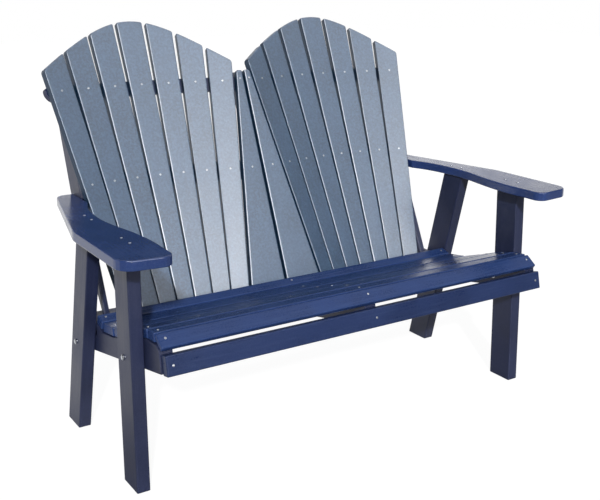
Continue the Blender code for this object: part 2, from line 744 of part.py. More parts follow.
def add_middle_rail(frame, hand, fan, material):
    """The curved rail at arm height, ending flush with the outer post."""
    low = ARM_TOP + CLEARANCE
    high = low + MIDDLE_RAIL_HEIGHT
    outer = fan * SLATS_EACH_SIDE
    end = rail_section(lambda behind, z: point_at_x(fan, outer, fan * POST_OUTER, behind, z), low, high, 0.0)
    curved_rail(frame, f"middle_back_rail_{hand}", fan, low, high, [end], 0.0, material)


def corner_rise(radius, inset):
    """How far a rounded corner stands in from its board's edge, at a distance from the board's end."""
    left = max(radius - inset, 0.0)
    return radius - math.sqrt(radius * radius - left * left)


def add_upper_rail(frame, hand, fan, material):
    """The curved rail near the top, square to the slats, its outer end rounded most underneath."""
    low = UPPER_RAIL_LOW
    high = low + UPPER_RAIL_HEIGHT
    outer = fan * SLATS_EACH_SIDE
    sink = CURVED_RAIL_DEPTH * slat_normal(outer).z
    reach = level_width(high) / 2 + UPPER_RAIL_OVERHANG
    ends = []
    for step in range(RAIL_END_STEPS + 1):
        inset = UPPER_RAIL_LOW_ROUND * (1 - math.cos(math.radians(90) * step / RAIL_END_STEPS))
        ends.append(rail_section(lambda behind, z, a=fan * (reach - inset): fan_point(fan, outer, a, behind, z),
                                 low + corner_rise(UPPER_RAIL_LOW_ROUND, inset),
                                 high - corner_rise(UPPER_RAIL_TOP_ROUND, inset), sink))
    curved_rail(frame, f"upper_back_rail_{hand}", fan, low, high, ends, sink, material)


def add_outer_post(frame, hand, fan, material):
    """A fin that follows the rails in front, full at arm height and thin where it meets the lower rail."""
    foot = LOWER_RAIL_TOP + CLEARANCE
    levels = ((foot, POST_TAIL_DEPTH), (ARM_TOP, POST_ARM_DEPTH), (POST_TOP, POST_TOP_DEPTH))
    middle = fan * (POST_INNER + POST_OUTER) / 2
    place = fan * SLATS_EACH_SIDE
    rings = []
    for x in (fan * POST_INNER, fan * POST_OUTER):
        ring = [point_at_x(fan, place, x, BEHIND_RAILS, POST_TOP),
                point_at_x(fan, place, x, BEHIND_RAILS, foot)]
        for height, depth in levels:
            rear = point_at_x(fan, place, middle, BEHIND_RAILS, height).y + depth
            ring.append(Vector((x, rear, height)))
        rings.append(ring)
    add_prism(frame, f"back_post_{hand}", rings[0], rings[1], material)


def add_centre_post(frame, material):
    """The board behind the fillers, from the lower rail to just under their tops."""
    foot = LOWER_RAIL_TOP + CLEARANCE
    rear = BEHIND_SLATS + BOARD
    corners = ((BEHIND_SLATS, foot), (rear, foot), (rear, CENTRE_POST_TOP), (BEHIND_SLATS, CENTRE_POST_TOP))
    outline = [(filler_plane(behind, height), height) for behind, height in corners]
    side_board(frame, "back_post_centre", outline, -CENTRE_POST_WIDTH / 2, CENTRE_POST_WIDTH / 2, material)


def add_back_frame(frame, material):
    """Every rail and post behind the slats."""
    add_lower_rail(frame, material)
    for hand, fan in (("left", -1), ("right", 1)):
        add_middle_rail(frame, hand, fan, material)
        add_upper_rail(frame, hand, fan, material)
        add_outer_post(frame, hand, fan, material)
    add_centre_post(frame, material)


def bolt_name(kind, hand, piece):
    """Node name of one piece of a leg's bolt."""
    return f"{kind}_leg_{piece}_{hand}"


def add_turned(frame, name, profile, start, direction, material, hollow=False, six_sided=False):
    """One turned piece, its edges left crisp."""
    shape = bmesh.new()
    turned(shape, profile, start, direction, hollow, six_sided)
    add_piece(frame, name, shape, material, edge=0)


def add_bolts(frame, material):
    """A bolt, washer and nut through each leg and its rail."""
    bore = BOLT_RADIUS + BOLT_PLAY
    washer_near = LEG_HALF_SPAN - RAIL_INNER + 2 * CLEARANCE
    washer_far = washer_near + WASHER_THICKNESS
    nut_near = washer_far + CLEARANCE
    nut_far = nut_near + NUT_THICKNESS
    bolt = [(BOLT_HEAD_RADIUS * BOLT_CROWN_SHARE, -BOLT_HEAD_HEIGHT),
            (BOLT_HEAD_RADIUS, -BOLT_HEAD_HEIGHT * BOLT_RIM_SHARE),
            (BOLT_HEAD_RADIUS, 0.0), (BOLT_RADIUS, 0.0), (BOLT_RADIUS, nut_far + BOLT_END)]
    washer = [(bore, washer_near), (WASHER_RADIUS, washer_near), (WASHER_RADIUS, washer_far), (bore, washer_far)]
    nut = [(bore, nut_near), (NUT_RADIUS, nut_near), (NUT_RADIUS, nut_far), (bore, nut_far)]
    for kind, (y, z) in zip(("front", "rear"), bolt_places()):
        for hand, side in (("left", -1), ("right", 1)):
            seat = Vector((side * (LEG_HALF_SPAN + CLEARANCE), y, z))
            inward = Vector((-side, 0.0, 0.0))
            add_turned(frame, bolt_name(kind, hand, "bolt"), bolt, seat, inward, material)
            add_turned(frame, bolt_name(kind, hand, "washer"), washer, seat, inward, material, True)
            add_turned(frame, bolt_name(kind, hand, "nut"), nut, seat, inward, material, True, True)


def centre_frame(frame):
    """Moves the frame so that the origin is at the middle of the footprint, on the floor."""
    bpy.context.view_layer.update()
    graph = bpy.context.evaluated_depsgraph_get()
    points = []
    for piece in frame.children:
        if piece.hide_render:
            continue
        solid = piece.evaluated_get(graph)
        points += [solid.matrix_world @ Vector(corner) for corner in solid.bound_box]
    ends = [(min(point[axis] for point in points), max(point[axis] for point in points)) for axis in range(3)]
    frame.location = (-sum(ends[0]) / 2, -sum(ends[1]) / 2, -ends[2][0])


def main():
    """Builds the bench."""
    remove_everything()
    frame = bpy.data.objects.new("bench_frame", None)
    bpy.context.collection.objects.link(frame)
    lumber = frame_lumber()
    seat = seat_lumber()
    back = back_lumber()
    steel = stainless()
    cutter = bolt_cutter(frame, steel)
    add_legs(frame, lumber, cutter)
    add_seat_rails(frame, lumber, cutter)
    add_seat_slats(frame, seat)
    add_apron(frame, seat)
    add_arms(frame, arm_lumber())
    add_back_slats(frame, back)
    add_fillers(frame, back)
    add_back_frame(frame, lumber)
    add_bolts(frame, steel)
    centre_frame(frame)


main()
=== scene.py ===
"""Looks of the adirondack loveseat: poly lumber, steel screws and a plain studio.

The frame holds every board, bolt, washer and nut, and here each gets its finish. The back slats and the
seat rails show as copies, widened or cut a little to match the photograph, and the apron is built anew for
the same reason. The screws that hold the boards are set on their faces, and the bench is lit and seen from
the photograph's side. Lengths are metres: X runs along the bench, -Y is the front and Z is up.
"""

import logging
import math
from contextlib import contextmanager
from dataclasses import dataclass
from enum import Enum
from typing import ClassVar, Iterable, Iterator, NamedTuple, Optional

import bpy
from mathutils import Matrix, Vector


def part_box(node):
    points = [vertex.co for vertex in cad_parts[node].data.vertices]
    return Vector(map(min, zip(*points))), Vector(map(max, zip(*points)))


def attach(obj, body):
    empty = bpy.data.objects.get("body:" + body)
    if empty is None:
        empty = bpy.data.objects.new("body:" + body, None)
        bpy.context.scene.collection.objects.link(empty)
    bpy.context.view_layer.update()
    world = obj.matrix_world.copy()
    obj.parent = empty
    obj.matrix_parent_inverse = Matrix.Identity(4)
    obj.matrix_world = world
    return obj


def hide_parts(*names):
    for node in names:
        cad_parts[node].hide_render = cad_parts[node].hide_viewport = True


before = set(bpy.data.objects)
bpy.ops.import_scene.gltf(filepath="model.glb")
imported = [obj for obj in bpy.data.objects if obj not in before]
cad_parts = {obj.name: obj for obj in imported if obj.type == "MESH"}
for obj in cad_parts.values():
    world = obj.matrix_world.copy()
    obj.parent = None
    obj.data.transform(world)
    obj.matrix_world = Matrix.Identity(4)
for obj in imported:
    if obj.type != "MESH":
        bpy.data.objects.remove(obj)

Socket = bpy.types.NodeSocket
Node = bpy.types.Node
Piece = bpy.types.Object
Pair = tuple[float, float]
Triple = tuple[float, float, float]

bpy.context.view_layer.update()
BODY = "root"
HANDS = (("left", -1), ("right", 1))
BACK_SLATS = range(1, 8)
SEAT_SLATS = range(1, 7)
ALONG = Vector((1.0, 0.0, 0.0))
REAR = Vector((0.0, 1.0, 0.0))
UP = Vector((0.0, 0.0, 1.0))
MERGE_WITHIN = 0.00001
WHOLE: Pair = (0.0, 1.0)
WHITE = (1.0, 1.0, 1.0, 1.0)

log = logging.getLogger("loveseat")


class Run(Enum):
    """Which way a board's length lies."""

    ALONG = "along the bench"
    DEEP = "front to rear"
    UPWARD = "from foot to top"


class Pattern(NamedTuple):
    """A noise pattern: its features in a metre, its finer layers and how strong those are."""

    scale: float
    detail: float = 2.0
    roughness: float = 0.5


class Nodes:
    """A node tree, with short calls to add nodes and join them."""

    def __init__(self, tree: bpy.types.NodeTree) -> None:
        """Takes the tree.

        Args:
            tree: the nodes of a material or of the surroundings.
        """
        self.tree = tree

    def node(self, kind: str, **values: object) -> Node:
        """Adds a node and sets its own options.

        Args:
            kind: the node's type.
            values: options of the node, by name.

        Returns:
            The new node.
        """
        made = self.tree.nodes.new(kind)
        for name, value in values.items():
            setattr(made, name, value)
        return made

    def feed(self, socket: Socket, value: object) -> None:
        """Sets a socket to a constant, or joins it to another node's output.

        Args:
            socket: the input to fill.
            value: a number, a colour, a vector or an output socket.
        """
        if isinstance(value, bpy.types.NodeSocket):
            self.tree.links.new(value, socket)
        else:
            socket.default_value = value

    def reckon(self, kind: str, first: object, second: object) -> Socket:
        """Joins two numbers by arithmetic.

        Args:
            kind: the kind of arithmetic.
            first: the first number or output.
            second: the second number or output.

        Returns:
            The result.
        """
        made = self.node("ShaderNodeMath", operation=kind)
        self.feed(made.inputs[0], first)
        self.feed(made.inputs[1], second)
        return made.outputs[0]

    def span(self, value: Socket, source: Pair, result: Pair = WHOLE, kind: str = "LINEAR") -> Socket:
        """Maps a range of values to another, held at both ends.

        Args:
            value: the value to map.
            source: the range's ends.
            result: what the ends become.
            kind: how it runs between them.

        Returns:
            The mapped value.
        """
        made = self.node("ShaderNodeMapRange", interpolation_type=kind)
        for name, number in zip(("From Min", "From Max", "To Min", "To Max"), (*source, *result)):
            self.feed(made.inputs[name], number)
        self.feed(made.inputs["Value"], value)
        return made.outputs["Result"]

    def part_of(self, vector: Socket, axis: str) -> Socket:
        """Takes one part of a vector.

        Args:
            vector: the vector.
            axis: X, Y or Z.

        Returns:
            The part.
        """
        apart = self.node("ShaderNodeSeparateXYZ")
        self.feed(apart.inputs[0], vector)
        return apart.outputs[axis]

    def likeness(self, first: object, second: object) -> Socket:
        """How far two unit directions agree.

        Args:
            first: the first direction.
            second: the second direction.

        Returns:
            A value from -1 where they are opposed to 1 where they are the same.
        """
        made = self.node("ShaderNodeVectorMath", operation="DOT_PRODUCT")
        self.feed(made.inputs[0], first)
        self.feed(made.inputs[1], second)
        return made.outputs["Value"]

    def either(self, *names: str) -> Socket:
        """1 for rays of the named kinds, else 0.

        Args:
            names: outputs of the Light Path node.

        Returns:
            The share.
        """
        path = self.node("ShaderNodeLightPath")
        share = path.outputs[names[0]]
        for name in names[1:]:
            share = self.reckon("MAXIMUM", share, path.outputs[name])
        return share


class Shader(Nodes):
    """A material with its standard surface, and the patterns that finish it.

    A Mix node's colour sockets go by their places, because its number sockets have the same names.
    """

    EDGE_SAMPLES: ClassVar[int] = 6
    MIX_FIRST: ClassVar[int] = 6
    MIX_SECOND: ClassVar[int] = 7
    MIX_RESULT: ClassVar[int] = 2

    def __init__(self, name: str) -> None:
        """Starts the material.

        Args:
            name: the material's name.
        """
        self.material = bpy.data.materials.new(name)
        self.material.use_nodes = True
        super().__init__(self.material.node_tree)
        self.surface = self.tree.nodes["Principled BSDF"]

    def finish(self, name: str, value: object) -> None:
        """Fills one of the surface's inputs.

        Args:
            name: the input's name.
            value: a number, a colour or an output socket.
        """
        self.feed(self.surface.inputs[name], value)

    def noise(self, place: Socket, pattern: Pattern) -> Socket:
        """Adds a noise pattern.

        Args:
            place: the coordinates that it reads.
            pattern: its size and layers.

        Returns:
            The pattern's value, around 0.5.
        """
        made = self.node("ShaderNodeTexNoise")
        self.feed(made.inputs["Vector"], place)
        for name, number in zip(("Scale", "Detail", "Roughness"), pattern):
            self.feed(made.inputs[name], number)
        return made.outputs["Fac"]

    def blend(self, share: object, first: object, second: object) -> Socket:
        """Mixes two colours.

        Args:
            share: how much of the second shows.
            first: a colour or an output.
            second: a colour or an output.

        Returns:
            The mixed colour.
        """
        made = self.node("ShaderNodeMix", data_type="RGBA")
        self.feed(made.inputs["Factor"], share)
        self.feed(made.inputs[self.MIX_FIRST], first)
        self.feed(made.inputs[self.MIX_SECOND], second)
        return made.outputs[self.MIX_RESULT]

    def stretched(self, place: Socket, scale: Triple) -> Socket:
        """Scales the coordinates that a pattern reads.

        Args:
            place: the coordinates.
            scale: one factor for each axis.

        Returns:
            The scaled coordinates.
        """
        made = self.node("ShaderNodeMapping")
        self.feed(made.inputs["Vector"], place)
        self.feed(made.inputs["Scale"], scale)
        return made.outputs["Vector"]

    def rounded(self, radius: float) -> Socket:
        """Normals that turn over the edges, as if those were rounded.

        Args:
            radius: how round the edges look.

        Returns:
            The normals.
        """
        made = self.node("ShaderNodeBevel", samples=self.EDGE_SAMPLES)
        self.feed(made.inputs["Radius"], radius)
        return made.outputs["Normal"]

    def raised(self, height: Socket, strength: float, depth: float,
               normal: Optional[Socket] = None) -> Socket:
        """Normals of a fine relief.

        Args:
            height: the pattern that is raised.
            strength: how much of it shows.
            depth: how deep it is.
            normal: the normals that it lies on, the plain ones if none are given.

        Returns:
            The normals.
        """
        made = self.node("ShaderNodeBump")
        self.feed(made.inputs["Strength"], strength)
        self.feed(made.inputs["Distance"], depth)
        self.feed(made.inputs["Height"], height)
        if normal is not None:
            self.feed(made.inputs["Normal"], normal)
        return made.outputs["Normal"]


@dataclass(frozen=True)
class Lumber:
    """Poly lumber: coloured through, pebbled by its mould, with faint streaks along the board.

    The class's own numbers are shared by all lumber. Each range says where a pattern's value starts to show
    and where it shows in full.
    """

    CLOUDS: ClassVar[Pattern] = Pattern(7.0, 3.0)
    STREAKS: ClassVar[Pattern] = Pattern(130.0, 4.0, 0.6)
    STREAK_STRETCH: ClassVar[Triple] = (0.05, 1.0, 1.0)
    PEBBLE_LAYERS: ClassVar[Pair] = (3.0, 0.65)
    FLECKS: ClassVar[Pattern] = Pattern(520.0, 1.0)
    GROOVES: ClassVar[Pattern] = Pattern(420.0)
    GROOVE_STRETCH: ClassVar[Triple] = (0.012, 1.0, 1.0)
    DRIFT: ClassVar[Triple] = (1.0, 0.37, 0.61)
    CLOUD_RANGE: ClassVar[Pair] = (0.35, 0.60)
    STREAK_RANGE: ClassVar[Pair] = (0.50, 0.72)
    PEBBLE_RANGE: ClassVar[Pair] = (0.42, 0.66)
    FLECK_RANGE: ClassVar[Pair] = (0.64, 0.72)
    EDGE_RANGE: ClassVar[Pair] = (0.88, 0.995)
    SIDE_RANGE: ClassVar[Pair] = (0.45, 0.75)
    UNEVEN_RANGE: ClassVar[Pair] = (1.20, 1.80)
    DARK_SHARE: ClassVar[float] = 0.80
    PEBBLE_SHOWS: ClassVar[float] = 0.12
    FLECK_SHOWS: ClassVar[float] = 0.15
    MOTTLE_SHOWS: ClassVar[float] = 0.60
    ROUGHNESS_SWING: ClassVar[float] = 0.07
    SIDE_SHADE_SHARE: ClassVar[float] = 0.50
    SAWN_GLOSS: ClassVar[float] = 0.1
    GROOVE_DEPTH: ClassVar[float] = 0.0006
    PEBBLE_DEPTH: ClassVar[float] = 0.0010

    slot: str
    colour: Triple
    bloom_and_highlight: Triple
    roughness: float
    gloss: float
    coat: float
    pebble: float
    groove: float
    streaks: float
    coat_bend: float = 1.5
    grain: float = 260.0
    mottle: float = 0.0
    sawn_side_shade: float = 0.0
    edge_width: float = 0.0030
    edge_light: float = 0.35

    def material(self, name: str, length: Vector, turn: float) -> bpy.types.Material:
        """Makes the finish for one board.

        Args:
            name: the material's name.
            length: direction of the board's length.
            turn: a number of its own, which moves the pattern.

        Returns:
            The material.
        """
        shader = Shader(name)
        board = self.board_place(shader, length, turn)
        clouds = shader.noise(board, self.CLOUDS)
        streaks = shader.noise(shader.stretched(board, self.STREAK_STRETCH), self.STREAKS)
        pebbles = shader.noise(board, Pattern(self.grain, *self.PEBBLE_LAYERS))
        flecks = shader.noise(board, self.FLECKS)
        grooves = shader.noise(shader.stretched(board, self.GROOVE_STRETCH), self.GROOVES)
        self.paint(shader, clouds, streaks, pebbles, flecks)
        self.polish(shader, clouds, streaks, pebbles)
        self.emboss(shader, pebbles, grooves)
        if self.sawn_side_shade:
            self.shade_sawn_sides(shader)
        return shader.material

    def board_place(self, shader: Shader, length: Vector, turn: float) -> Socket:
        """Turns the object's coordinates so that X runs along the board.

        Args:
            shader: the material in the making.
            length: direction of the board's length.
            turn: a number of its own, which moves the pattern.

        Returns:
            The turned coordinates.
        """
        mapping = shader.node("ShaderNodeMapping")
        shader.feed(mapping.inputs["Vector"], shader.node("ShaderNodeTexCoord").outputs["Object"])
        shader.feed(mapping.inputs["Rotation"], tuple(length.rotation_difference(ALONG).to_euler()))
        shader.feed(mapping.inputs["Location"], tuple(share * turn for share in self.DRIFT))
        return mapping.outputs["Vector"]

    def edge_share(self, shader: Shader) -> Socket:
        """How much a point lies on a rounded edge, where a painted highlight makes the colour paler.

        Args:
            shader: the material in the making.

        Returns:
            A value from 0 on a flat to 1 on an edge.
        """
        flat = shader.node("ShaderNodeNewGeometry").outputs["True Normal"]
        alike = shader.likeness(shader.rounded(self.edge_width), flat)
        return shader.span(alike, self.EDGE_RANGE, (1.0, 0.0))

    def paint(self, shader: Shader, clouds: Socket, streaks: Socket, pebbles: Socket,
              flecks: Socket) -> None:
        """Colours the board.

        Args:
            shader: the material in the making.
            clouds: broad unevenness.
            streaks: bands along the board.
            pebbles: the moulded texture.
            flecks: fine pale specks.
        """
        dark = (*[self.DARK_SHARE * channel for channel in self.colour], 1.0)
        # The pale colour serves both the board's random pale tone and the painted highlight on its edges.
        pale = (*self.bloom_and_highlight, 1.0)
        layers = (
            (streaks, self.STREAK_RANGE, self.streaks),
            (pebbles, self.PEBBLE_RANGE, self.PEBBLE_SHOWS + self.MOTTLE_SHOWS * self.mottle),
            (flecks, self.FLECK_RANGE, self.FLECK_SHOWS + self.MOTTLE_SHOWS * self.mottle),
        )
        base = shader.blend(shader.span(clouds, self.CLOUD_RANGE), dark, (*self.colour, 1.0))
        for pattern, source, most in layers:
            base = shader.blend(shader.span(pattern, source, (0.0, most)), base, pale)
        # Painted highlight: the rounded edges are mixed toward the pale colour.
        painted_highlight = shader.reckon("MULTIPLY", self.edge_share(shader), self.edge_light)
        shader.finish("Base Color", shader.blend(painted_highlight, base, pale))

    def polish(self, shader: Shader, clouds: Socket, streaks: Socket, pebbles: Socket) -> None:
        """Sets how glossy the board is, a little uneven.

        Args:
            shader: the material in the making.
            clouds: broad unevenness.
            streaks: bands along the board.
            pebbles: the moulded texture.
        """
        uneven = shader.reckon("ADD", shader.reckon("ADD", clouds, streaks), pebbles)
        ends = (self.roughness - self.ROUGHNESS_SWING, self.roughness + self.ROUGHNESS_SWING)
        shader.finish("Roughness", shader.span(uneven, self.UNEVEN_RANGE, ends))
        shader.finish("Specular IOR Level", self.gloss)
        shader.finish("Coat Weight", self.coat)
        shader.finish("Coat Roughness", self.roughness)
        shader.finish("Coat IOR", self.coat_bend)

    def shade_sawn_sides(self, shader: Shader) -> None:
        """Darkens a slat's sides with painted shade, and leaves them duller than its moulded faces, as sawn
        faces are.

        Args:
            shader: the material in the making.
        """
        across = shader.part_of(shader.node("ShaderNodeNewGeometry").outputs["True Normal"], "X")
        side = shader.span(shader.reckon("ABSOLUTE", across, 0.0), self.SIDE_RANGE, (0.0, self.sawn_side_shade))
        # Painted shade: the sides that face along the bench are darkened toward this colour.
        dark = (*[self.SIDE_SHADE_SHARE * channel for channel in self.colour], 1.0)
        painted = shader.surface.inputs["Base Color"].links[0].from_socket
        shader.finish("Base Color", shader.blend(side, painted, dark))
        shader.finish("Coat Weight", shader.span(side, WHOLE, (self.coat, 0.0)))
        shader.finish("Specular IOR Level", shader.span(side, WHOLE, (self.gloss, self.SAWN_GLOSS)))

    def emboss(self, shader: Shader, pebbles: Socket, grooves: Socket) -> None:
        """Raises the pebbles and sinks the grooves.

        Args:
            shader: the material in the making.
            pebbles: the moulded texture.
            grooves: fine lines along the board.
        """
        lines = shader.raised(grooves, self.groove, self.GROOVE_DEPTH, shader.rounded(self.edge_width))
        shader.finish("Normal", shader.raised(pebbles, self.pebble, self.PEBBLE_DEPTH, lines))


@dataclass(frozen=True)
class Steel:
    """Stainless steel of screws and bolts, turned and lightly tarnished."""

    colour: Triple = (0.56, 0.58, 0.62)
    tarnish: Triple = (0.30, 0.31, 0.34)
    film: Pattern = Pattern(320.0, 3.0)
    film_range: Pair = (0.45, 0.75)
    film_shows: float = 0.6
    scratches: Pattern = Pattern(900.0)
    scratch_stretch: Triple = (1.0, 1.0, 9.0)
    scratch_range: Pair = (0.3, 0.7)
    scratch_strength: float = 0.25
    scratch_depth: float = 0.0001
    roughness: Pair = (0.26, 0.44)

    def material(self) -> bpy.types.Material:
        """Makes the finish.

        Returns:
            The material.
        """
        shader = Shader("stainless_steel")
        place = shader.node("ShaderNodeTexCoord").outputs["Object"]
        film = shader.span(shader.noise(place, self.film), self.film_range, (0.0, self.film_shows))
        scratches = shader.noise(shader.stretched(place, self.scratch_stretch), self.scratches)
        shader.finish("Base Color", shader.blend(film, (*self.colour, 1.0), (*self.tarnish, 1.0)))
        shader.finish("Metallic", 1.0)
        shader.finish("Roughness", shader.span(scratches, self.scratch_range, self.roughness))
        shader.finish("Normal", shader.raised(scratches, self.scratch_strength, self.scratch_depth))
        return shader.material


# Every lumber carries a painted highlight on its rounded edges, and the back's slats also get painted shade
# on their sides.
BACK_LUMBER = Lumber("back_lumber", (0.024, 0.066, 0.140), (0.075, 0.155, 0.270), 0.42, 1.00, 1.00,
                     pebble=0.80, groove=0.10, streaks=0.10, coat_bend=1.9, grain=130.0, mottle=0.85,
                     sawn_side_shade=0.85, edge_width=0.0018, edge_light=0.30)
SEAT_LUMBER = Lumber("seat_lumber", (0.026, 0.060, 0.205), (0.070, 0.125, 0.300), 0.30, 0.28, 0.00,
                     pebble=0.20, groove=0.60, streaks=0.30)
# The apron's finish is a darker copy of the seat lumber: painted shade on the apron.
SHADED_APRON_LUMBER = Lumber("seat_lumber", (0.021, 0.040, 0.128), (0.060, 0.095, 0.220), 0.34, 0.32, 0.00,
                      pebble=0.20, groove=0.40, streaks=0.20)
ARM_LUMBER = Lumber("arm_lumber", (0.024, 0.056, 0.208), (0.080, 0.130, 0.300), 0.20, 0.50, 0.00,
                    pebble=0.15, groove=0.08, streaks=0.10)
FRAME_LUMBER = Lumber("frame_lumber", (0.020, 0.028, 0.078), (0.070, 0.080, 0.145), 0.46, 0.45, 0.00,
                      pebble=0.25, groove=0.15, streaks=0.14)


def pairs(*names: str) -> tuple[str, ...]:
    """Node names of pieces that exist on both hands.

    Args:
        names: the names without their hand.

    Returns:
        Each name with left, then with right.
    """
    return tuple(f"{name}_{hand}" for name in names for hand, _ in HANDS)


def fan(hand: str) -> tuple[str, ...]:
    """Nodes of one fan's slats.

    Args:
        hand: left or right.

    Returns:
        The slats, the one beside the arm first.
    """
    return tuple(f"back_slat_{hand}_{number}" for number in BACK_SLATS)


def span_at(node: str, height: float, axis: int) -> Pair:
    """How far a board reaches along an axis where a level plane cuts it.

    Args:
        node: the board.
        height: the plane's height.
        axis: 0 for X, 1 for Y.

    Returns:
        The lowest and the highest place.
    """
    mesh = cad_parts[node].data
    places = []
    for edge in mesh.edges:
        first, second = (mesh.vertices[index].co for index in edge.vertices)
        if (first.z - height) * (second.z - height) < 0:
            share = (height - first.z) / (second.z - first.z)
            places.append(first.lerp(second, share)[axis])
    return min(places), max(places)


def middle_at(node: str, height: float) -> Vector:
    """Middle of a board's section at a height.

    Args:
        node: the board.
        height: the section's height.

    Returns:
        The middle point.
    """
    x, y = (sum(span_at(node, height, axis)) / 2 for axis in (0, 1))
    return Vector((x, y, height))


def quarter_points(node: str) -> tuple[Vector, Vector]:
    """Middles of an upright board's sections, a quarter of its height from either end.

    Args:
        node: the board.

    Returns:
        The lower and the upper point.
    """
    low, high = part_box(node)
    quarter = (high.z - low.z) / 4
    return middle_at(node, low.z + quarter), middle_at(node, high.z - quarter)


def only(piece: Piece) -> None:
    """Selects one piece and nothing else.

    Args:
        piece: the piece.
    """
    bpy.ops.object.select_all(action="DESELECT")
    piece.select_set(True)
    bpy.context.view_layer.objects.active = piece


@contextmanager
def editing(whole: bool = False) -> Iterator[None]:
    """Edits the active piece's mesh for as long as the block runs.

    Args:
        whole: whether all of the mesh is selected first.
    """
    bpy.ops.object.mode_set(mode="EDIT")
    if whole:
        bpy.ops.mesh.select_all(action="SELECT")
    yield
    bpy.ops.object.mode_set(mode="OBJECT")


def pick_by(kind: str) -> None:
    """Drops what is selected of the active piece's mesh and sets what the next selection is made of.

    Args:
        kind: VERT, EDGE or FACE.
    """
    with editing():
        bpy.ops.mesh.select_mode(type=kind)
        bpy.ops.mesh.select_all(action="DESELECT")


def cut_copy(node: str, name: str, cuts: Iterable[dict[str, object]]) -> Piece:
    """Copies a solid, merges its loose triangles and cuts the copy along planes.

    Args:
        node: the solid.
        name: the copy's name.
        cuts: for each plane its point, its normal and what becomes of the two sides.

    Returns:
        The copy.
    """
    piece = bpy.data.objects.new(name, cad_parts[node].data.copy())
    bpy.context.collection.objects.link(piece)
    only(piece)
    with editing(whole=True):
        bpy.ops.mesh.remove_doubles(threshold=MERGE_WITHIN)
        for cut in cuts:
            bpy.ops.mesh.select_all(action="SELECT")
            bpy.ops.mesh.bisect(**cut)
    return piece


def show_instead(piece: Piece, node: str, pieces: dict[str, Piece]) -> None:
    """Lets a remade piece show in its solid's place.

    Args:
        piece: the remade piece.
        node: the solid.
        pieces: the pieces that show, by node.
    """
    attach(piece, BODY)
    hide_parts(node)
    pieces[node] = piece


@dataclass
class Boards:
    """A group of boards that share a finish and the way that their length lies."""

    TURN_STEP: ClassVar[float] = 1.7
    TURN_START: ClassVar[float] = 0.3

    title: str
    lumber: Lumber
    run: Run
    nodes: tuple[str, ...]

    def length_of(self, node: str) -> Vector:
        """Direction of a board's length.

        Args:
            node: the board.

        Returns:
            A unit direction.
        """
        if self.run is Run.ALONG:
            return ALONG
        if self.run is Run.DEEP:
            return REAR
        foot, head = quarter_points(node)
        return (head - foot).normalized()

    def dress(self, pieces: dict[str, Piece]) -> None:
        """Gives each board its own copy of the finish.

        Args:
            pieces: the pieces that show, by node.
        """
        slot = self.lumber.slot
        for number, node in enumerate(self.nodes):
            piece = pieces[node]
            turn = self.TURN_STEP * number + self.TURN_START
            piece.data.materials.clear()
            piece.data.materials.append(self.lumber.material(f"{slot}_{node}", self.length_of(node), turn))
        log.info("%s: %d boards in %s", self.title, len(self.nodes), slot)


@dataclass
class LeaningFront:
    """The apron and the seat rails' front ends: they lean back, square to the rails' fall to the rear."""

    lean: float = 12.0
    foot: Pair = (-0.4545, 0.3669)
    height: float = 0.0545
    thickness: float = 0.0275
    half_length: float = 0.6507
    edge: float = 0.0030
    edge_steps: int = 3
    clearance: float = 0.0003

    def along(self) -> Vector:
        """Direction of the rails' length, to the rear and down."""
        angle = math.radians(self.lean)
        return Vector((0.0, math.cos(angle), -math.sin(angle)))

    def rise(self) -> Vector:
        """Direction up the apron."""
        angle = math.radians(self.lean)
        return Vector((0.0, math.sin(angle), math.cos(angle)))

    def place(self) -> Vector:
        """The apron's bottom front edge over the middle of the bench."""
        return Vector((0.0, *self.foot))

    def build(self, pieces: dict[str, Piece]) -> None:
        """Makes the apron and the rails and puts them in the list of what shows.

        Args:
            pieces: the pieces that show, by node.
        """
        rails = pairs("seat_rail") + ("seat_rail_centre",)
        show_instead(self.apron(), "apron", pieces)
        for rail in rails:
            show_instead(self.rail(rail), rail, pieces)
        bpy.context.view_layer.update()
        log.info("leaning front: apron and %d rails", len(rails))

    def apron(self) -> Piece:
        """Shapes the apron from a block: turned to its lean, then rounded along its edges.

        Returns:
            The apron.
        """
        middle = self.place() + self.rise() * self.height / 2 + self.along() * self.thickness / 2
        turn = (-math.radians(self.lean), 0.0, 0.0)
        bpy.ops.object.select_all(action="DESELECT")
        bpy.ops.mesh.primitive_cube_add(size=1.0, location=middle, rotation=turn,
                                        scale=(2 * self.half_length, self.thickness, self.height))
        board = bpy.context.object
        board.name = "apron_board"
        bpy.ops.object.transform_apply(location=True, rotation=True, scale=True)
        with editing(whole=True):
            bpy.ops.mesh.bevel(offset=self.edge, segments=self.edge_steps, affect="EDGES")
        return board

    def rail(self, node: str) -> Piece:
        """Cuts a seat rail's front end to the apron's lean.

        Args:
            node: the rail.

        Returns:
            The cut rail.
        """
        behind = self.place() + self.along() * (self.thickness + self.clearance)
        cut = {"plane_co": behind, "plane_no": self.along(), "clear_inner": True, "use_fill": True}
        return cut_copy(node, f"{node}_cut", [cut])


